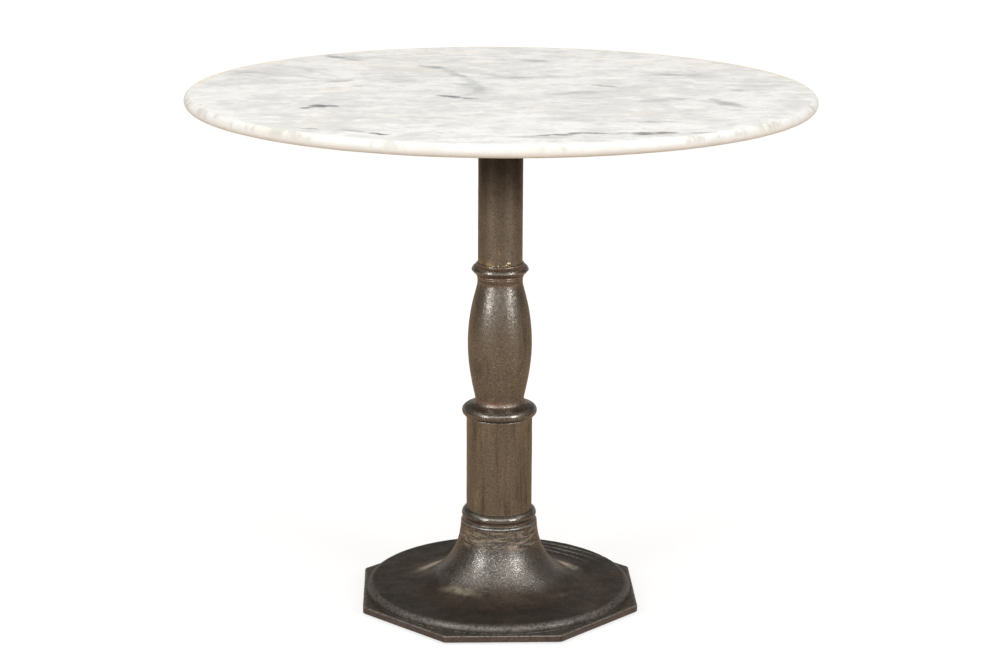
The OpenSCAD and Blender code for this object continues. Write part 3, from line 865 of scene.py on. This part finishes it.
def make_bell(finish):
    edge = 9
    disc_low = PLINTH_HIGH
    web_z, web_top, core_r, rod_r = BELL_HIGH - 21, BELL_HIGH - 7, 40, 9
    outer = [(45, disc_low), (DISC_R - 0.5, disc_low), (DISC_R, disc_low + 0.6),
             (DISC_R, DISC_Z - edge)]
    outer += arc(DISC_R - edge, DISC_Z - edge, edge, 0, 90, 0.8)[1:]
    outer += bezier((139, DISC_Z), (95, DISC_Z), (BELL_R, PLINTH_LOW + 68),
                    (BELL_R, BELL_HIGH - 4), 60)
    outer += arc(BELL_R - 2.6, BELL_HIGH - 3.2, 2.6, 0, 62, 0.5)
    outer += [(54.8, BELL_HIGH), (44.4, BELL_HIGH)]
    inner = [(44, BELL_HIGH), (44, web_top), (rod_r, web_top), (rod_r, web_z), (core_r, web_z)]
    flaws = casting_flaws()

    def relief(angle, r, z):
        lift = 0.0
        x, y = r * cos(angle), r * sin(angle)
        if r < 60 and z > CRUST_LOW:
            lift += burnt_sand(x, y, z)
        if 140 < r < DISC_R - 8 and abs(z - DISC_Z) < 8:
            lift += cold_ridges(x, y, r)
        if r > DISC_R - 9:
            lift += chips(flaws, angle, r, z)
        return lift

    mesh = lathe("bell", outer, inner, 400, step=1.7, uneven=0.16, seed=7, relief=relief)
    bosses = [plug(13, 9, disc_low + 2, x, y, 48) for x, y in around(4, GLIDE_R, 45)]
    mesh = combined(mesh, bosses, "UNION")
    holes = [plug(4.05, 8, 22.5, x, y, 40) for x, y in around(4, GLIDE_R, 45)]
    holes += [plug(3.9, disc_low - 1, disc_low + 8, x, y, 32)
              for x, y in around(8, SCREW_CIRCLE_R, 22.5)]
    mesh = combined(mesh, holes, "DIFFERENCE")
    new_piece("pedestal_bell", mesh, finish, "aged_iron", "base_bell")


def octagon_outline(half, corner, flat_points=36, corner_points=8):
    """A regular octagon's outline with round corners, as points anticlockwise from +X."""
    reach = (half - corner) / cos(radians(22.5))
    outline = []
    for side in range(8):
        middle = radians(22.5 + 45 * side)
        centre = (reach * cos(middle), reach * sin(middle))
        for i in range(corner_points + 1):
            a = middle + radians(45) * (i / corner_points - 0.5)
            outline.append((centre[0] + corner * cos(a), centre[1] + corner * sin(a)))
        following = middle + radians(45)
        a = middle + radians(22.5)
        start = outline[-1]
        stop = (reach * cos(following) + corner * cos(a),
                reach * sin(following) + corner * sin(a))
        for i in range(1, flat_points):
            t = i / flat_points
            outline.append((start[0] + (stop[0] - start[0]) * t, start[1] + (stop[1] - start[1]) * t))
    return outline


def make_plinth(finish):
    """Octagonal plate: rings of its outline stacked up its side, then the wells cut out."""
    corner, soft = 9.0, 1.3
    turns = [radians(a) for a in (0, 22.5, 45, 67.5, 90)]
    levels = [(soft + 4, PLINTH_LOW)]
    levels += [(soft * (1 - sin(a)), PLINTH_LOW + soft * (1 - cos(a))) for a in turns]
    levels += [(0, PLINTH_LOW + soft + 1.5 * i) for i in range(1, 5)]
    levels += [(soft * (1 - cos(a)), PLINTH_HIGH - soft * (1 - sin(a))) for a in turns]
    levels += [(soft + 4, PLINTH_HIGH), (soft + 9, PLINTH_HIGH)]
    verts, wear, grime = [], [], []
    for inset, z in levels:
        for x, y in octagon_outline(PLINTH_HALF - inset, max(1.0, corner - inset)):
            lift = rough_casting((x, y, z), 0.22, 8) if inset < soft + 1 else 0
            scale = 1 + min(0.0, lift - 0.1) / PLINTH_HALF
            verts.append((x * scale, y * scale, z))
            wear.append(0.6 if 0 < inset < soft else 0.0)
            grime.append(0.35 if inset == 0 else 0.0)
    faces = skin(len(levels), len(verts) // len(levels))
    mesh = new_mesh("plinth", verts, faces, wear=wear, grime=grime)
    below, above = PLINTH_LOW - 1, PLINTH_HIGH + 1
    cuts = [plug(18, below, above, x, y, 96) for x, y in around(4, GLIDE_R, 45)]
    for x, y in around(8, SCREW_CIRCLE_R, 22.5):
        cuts.append(plug(4.3, below, above, x, y, 40))
        cuts.append(plug(9.05, below, PLINTH_LOW + 4.05, x, y, 56, taper=4.0))
    mesh = combined(mesh, cuts, "DIFFERENCE")
    new_piece("plinth_plate", mesh, finish, "aged_iron", "base_plinth")


def extruded(outline, half, turn):
    """A closed plate of half its thickness to each side of the XZ outline, then turned."""
    count = len(outline)
    verts = [(x, side * half, z) for side in (-1, 1) for x, z in outline]
    faces = [tuple(range(count)), tuple(range(count, 2 * count))[::-1]]
    faces += [(i, i + count, (i + 1) % count + count, (i + 1) % count) for i in range(count)]
    mesh = new_mesh("plate", verts, faces)
    mesh.transform(turn)
    weld(mesh)
    return mesh


def make_spider(finish):
    """Rough casting by voxels, then the machined faces and holes cut into it."""
    low, high = SPIDER_LOW, SPIDER_HIGH
    pad_low, over = high - 9.6, high + 2
    flange = [(0, pad_low), (BOLT_CIRCLE_R, pad_low), (BOLT_CIRCLE_R, over), (0, over)]
    web = [(0, high - 26), (48, high - 26), (157, high - 9.8), (157, high), (0, high)]
    parts = [lathe("hub", [(0, low + 0.6), (42, low + 0.6), (43.5, low + 2), (43.5, low + 14),
                           (49.5, high - 10), (49.5, over), (0, over)], [], 128, step=1000)]
    for x, y in around(4, BOLT_CIRCLE_R, 45):
        turn = Matrix.Rotation(atan2(y, x), 4, "Z")
        parts += [plug(19.5, pad_low, over, x, y, 96), extruded(flange, 12.5, turn),
                  extruded(web, 3.7, turn)]
    host = link("rough", joined("rough", parts))
    remesh = host.modifiers.new("skin", "REMESH")
    remesh.mode = "VOXEL"
    remesh.voxel_size = 1.35 * MM
    soften = host.modifiers.new("soften", "SMOOTH")
    soften.iterations = 5
    soften.factor = 0.5
    graph = bpy.context.evaluated_depsgraph_get()
    mesh = bpy.data.meshes.new_from_object(host.evaluated_get(graph))
    bpy.data.objects.remove(host)
    outward = [v.normal.copy() for v in mesh.vertices]
    for v, normal in zip(mesh.vertices, outward):
        v.co += normal * rough_casting(v.co / MM, 0.14, 9) * MM
    cuts = [plug(260, high, high + 20, segments=64), plug(18, high - 22, high + 3, segments=96),
            plug(9, low - 3, high, segments=64), plug(TUBE_R + 0.05, low - 3, low + 16, segments=160)]
    for x, y in around(4, BOLT_CIRCLE_R, 45):
        cuts.append(plug(4.5, high - 14, high + 3, x, y, 40))
        cuts.append(plug(12, high - 16, high - 10, x, y, 64))
    mesh = combined(mesh, cuts, "DIFFERENCE")
    new_piece("spider_casting", mesh, finish, "spider_iron", "top_spider", angle=50)


def hex_head(across, height, chamfer_down=False):
    """A closed hexagonal head on z 0 to height, its top corners turned off at 30 degrees."""
    count = 60
    flat = across / 2
    turned = flat * 0.94
    slope = tan(radians(30))
    rings = [[], [], []]
    for k in range(count):
        a = 2 * pi * k / count
        c, s = cos(a), sin(a)
        r = flat / cos((a + pi / 6) % (pi / 3) - pi / 6)
        rings[0].append((r * c, r * s, 0))
        rings[1].append((r * c, r * s, height - (r - turned) * slope))
        rings[2].append((turned * c, turned * s, height))
    mesh = new_mesh("hex", sum(rings, []), skin(3, count))
    if chamfer_down:
        mesh.transform(Matrix.Scale(-1, 4, (0, 0, 1)))
        mesh.flip_normals()
        mesh.transform(Matrix.Translation((0, 0, height * MM)))
    return mesh


def thread(major, low, high, segments=48, per_turn=10):
    """A closed threaded rod: its radius falls to the root between the turns of the helix."""
    depth = 0.61 * PITCH
    rows = ceil((high - low) / PITCH * per_turn)
    verts = []
    for i in range(rows + 1):
        z = low + (high - low) * i / rows
        end = min(1.0, (high - z) / PITCH)
        for k in range(segments):
            phase = (z / PITCH - k / segments) % 1.0
            tooth = min(1.0, max(0.0, abs(phase * 2 - 1) * 1.35 - 0.1))
            r = major - depth + depth * tooth * end
            a = 2 * pi * k / segments
            verts.append((r * cos(a), r * sin(a), z))
    return new_mesh("thread", verts, skin(rows + 1, segments))


def make_bolts(finish):
    head = 5.3
    bolts = []
    for x, y in around(4, BOLT_CIRCLE_R, 45):
        cap = hex_head(13, head - 0.3, chamfer_down=True)
        washer_face = plug(6.0, head - 0.4, head, segments=48)
        shank = thread(3.95, head - 1, BOLT_HIGH - BOLT_LOW)
        bolt = joined("bolt", [cap, washer_face, shank])
        bolt.transform(Matrix.Translation((x * MM, y * MM, BOLT_LOW * MM)))
        bolts.append(bolt)
    new_piece("slab_bolts", joined("bolts", bolts), finish, "zinc_steel", "top_bolts", angle=28)


def make_glide(number, steel, nylon):
    low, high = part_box(f"glide_pad_{number}")
    at = Matrix.Translation(((low.x + high.x) / 2, (low.y + high.y) / 2, 0))
    pad_r, lip_r, pad_h = 16, 4.5, 5.5
    outer = [(0, 0), (pad_r - 1.4, 0)]
    outer += arc(pad_r - 1.2, 1.2, 1.2, -80, -5, 0.3)
    outer += [(pad_r, 3.0)]
    outer += arc(pad_r - 0.9, 3.1, 0.9, 5, 60, 0.3)
    outer += [(lip_r + 5.4, pad_h - 0.1)]
    outer += arc(lip_r + 4.8, pad_h - 0.5, 0.5, 60, 90, 0.2)
    outer += [(lip_r + 0.3, pad_h), (lip_r, pad_h - 0.3), (lip_r, 4.5), (7.05, 4.5), (7.05, 1.5),
              (0, 1.5)]
    pad = lathe("pad", outer, [], 96, step=2.0)
    pad.transform(at)
    new_piece(f"glide_pad_{number}_turned", pad, nylon, "nylon", f"glide_pad_{number}",
              body=f"pad_{number}", angle=30)
    flange = lathe("flange", [(0, 1.6), (6.7, 1.6), (7.0, 1.9), (7.0, 4.1), (6.7, 4.4), (0, 4.4)],
                   [], 64, step=1000)
    neck = plug(3.9, 3.0, 7.0, segments=48)
    nut = hex_head(13, 2.8)
    nut.transform(Matrix.Translation((0, 0, 5.9 * MM)))
    stud = joined("stud", [flange, neck, nut, thread(4.0, 8.0, 22)])
    stud.transform(at)
    new_piece(f"glide_stud_{number}_threaded", stud, steel, "zinc_steel", f"glide_stud_{number}",
              body=f"stud_{number}", angle=28)


def make_braze(finish):
    """The brazed seam at the tube's foot: a thin uneven bead with one large drop at its end."""
    start, stop, drop_at = -26, 36, 22
    rings, segments = 120, 20
    foot = TUBE_LOW + SPIGOT_H
    verts = []
    for i in range(rings + 1):
        t = i / rings
        azimuth = start + (stop - start) * t
        taper = min(1.0, t * 9, (1 - t) * 7)
        uneven = max(0.1, 0.5 + 1.6 * noise.noise(Vector((azimuth * 0.23, 3.3, 0.7))))
        drop = exp(-abs((azimuth - drop_at) / 7.5) ** 2.6)
        r = max(0.03, taper * (0.8 * uneven + 1.7 * drop))
        a = radians(CAMERA_AZIMUTH - 90 + azimuth)
        radial = TUBE_R + 0.1 + 0.2 * r + 0.3 * drop
        height = foot + 0.3 + 0.30 * r + 2.2 * drop
        for k in range(segments):
            b = 2 * pi * k / segments
            lump = 1 + 0.45 * noise.noise(Vector((azimuth * 0.33, cos(b) * 1.6, sin(b) * 1.6)))
            out = radial + r * lump * cos(b) * (1 - 0.25 * drop)
            up = height + r * lump * (1.0 + 1.0 * drop) * sin(b)
            verts.append((out * cos(a), out * sin(a), up))
    mesh = new_mesh("braze", verts, skin(rings + 1, segments))
    weld(mesh)
    new_piece("braze_bead", mesh, finish, "brass")


def finish_node(node, material):
    """Gives a carried CAD node its material."""
    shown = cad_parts[node]
    if not shown.material_slots:
        shown.data.materials.append(material)
    for place in shown.material_slots:
        place.material = material


make_camera()
make_lights()
make_world()
make_floor()

stone = marble()
# The tube's top carries a painted shadow of the slab
tube_iron = iron("iron_tube", dark=(0.085, 0.073, 0.061), light=(0.50, 0.43, 0.34), streaks=0.35,
                 glint=0.15, rough=(0.33, 0.50),
                 gilt=TUBE_LOW + SPIGOT_H, painted_shadow=PAINTED_SHADOW_Z)
vase_iron = iron("iron_vase", streaks=0.45, glint=0.40, grain=1.5, rough=(0.25, 0.42))
# The collar and ring irons are darker than the rest: partly their own patina, partly painted shade for the
# slab's dark underside mirrored in their upward faces
collar_iron = iron("iron_collar", dark=(0.060, 0.052, 0.045), middle=(0.19, 0.168, 0.143),
                   light=(0.32, 0.275, 0.225), streaks=0.15, glint=0.1, grain=0.6,
                   rough=(0.21, 0.36), coat=0.3, hollow=0.9)
ring_iron = iron("iron_ring", dark=(0.050, 0.043, 0.037), middle=(0.17, 0.150, 0.128),
                 light=(0.30, 0.255, 0.205), streaks=0.15, glint=0.1, grain=0.6,
                 rough=(0.21, 0.36), coat=0.3, hollow=0.35)
drum_iron = iron("iron_drum", dark=(0.085, 0.073, 0.058), middle=(0.255, 0.222, 0.180),
                 light=(0.46, 0.385, 0.275), streaks=0.75, glint=0.12, rough=(0.30, 0.46))
# The bell's patches are painted light: tan reflections on the flare's sides, olive and tan highlights on
# the disc
bell_iron = iron("iron_bell", dark=(0.060, 0.056, 0.051), middle=(0.160, 0.150, 0.138),
                 light=(0.30, 0.27, 0.235), streaks=0.1, glint=0.45, grain=1.5, rough=(0.25, 0.44),
                 disc=DISC_Z + 7.5, crust=(BELL_HIGH - 37, BELL_HIGH - 4),
                 painted_light_patches=(((-96, 50, 44, 20, 28, 1.0), PAINTED_REFLECTION_TAN), ((108, 50, 38, 18, -46, 1.0), PAINTED_REFLECTION_TAN),
                          ((-57, -84, 48, 9, -33, 0.9), PAINTED_HIGHLIGHT_OLIVE), ((90, -78, 26, 8, 40, 0.35), TAN)))
plinth_iron = iron("iron_plinth", dark=(0.055, 0.046, 0.038), middle=(0.135, 0.115, 0.096),
                   light=(0.24, 0.20, 0.16), rust=0.6, glint=0.12, rough=(0.40, 0.56), hollow=0.6)
spider_iron = iron("iron_spider", dark=(0.030, 0.027, 0.025), middle=(0.085, 0.075, 0.066),
                   light=(0.13, 0.11, 0.09), streaks=0.0, glint=0.2, rough=(0.45, 0.7), coat=0.0)
steel = zinc()
brass_parts = brass("brass_inserts", [(0.72, 0.52, 0.22), (0.55, 0.37, 0.15)])
braze = brass("braze", [(0.86, 0.77, 0.52), (0.24, 0.19, 0.12)], (0.20, 0.36))
rubber = plastic("rubber", (0.022, 0.022, 0.022), (0.05, 0.05, 0.05), 0.62)
nylon = plastic("nylon", (0.030, 0.028, 0.028), (0.07, 0.065, 0.06), 0.45)

make_slab(stone)
make_tube(tube_iron)
make_upper_collar(collar_iron)
make_braze(braze)
make_baluster(vase_iron)
make_mid_collar(ring_iron)
make_drum(drum_iron)
make_base_ring(ring_iron)
make_bell(bell_iron)
make_plinth(plinth_iron)
make_spider(spider_iron)
make_bolts(steel)
for number in (1, 2, 3, 4):
    make_glide(number, steel, nylon)
for node in ("top_washers", "rod_top_nut", "rod_top_washer", "tie_rod", "rod_bottom_washer",
             "rod_lock_washer", "rod_bottom_nut", "plinth_screws"):
    finish_node(node, steel)
finish_node("top_inserts", brass_parts)
finish_node("top_cushions", rubber)
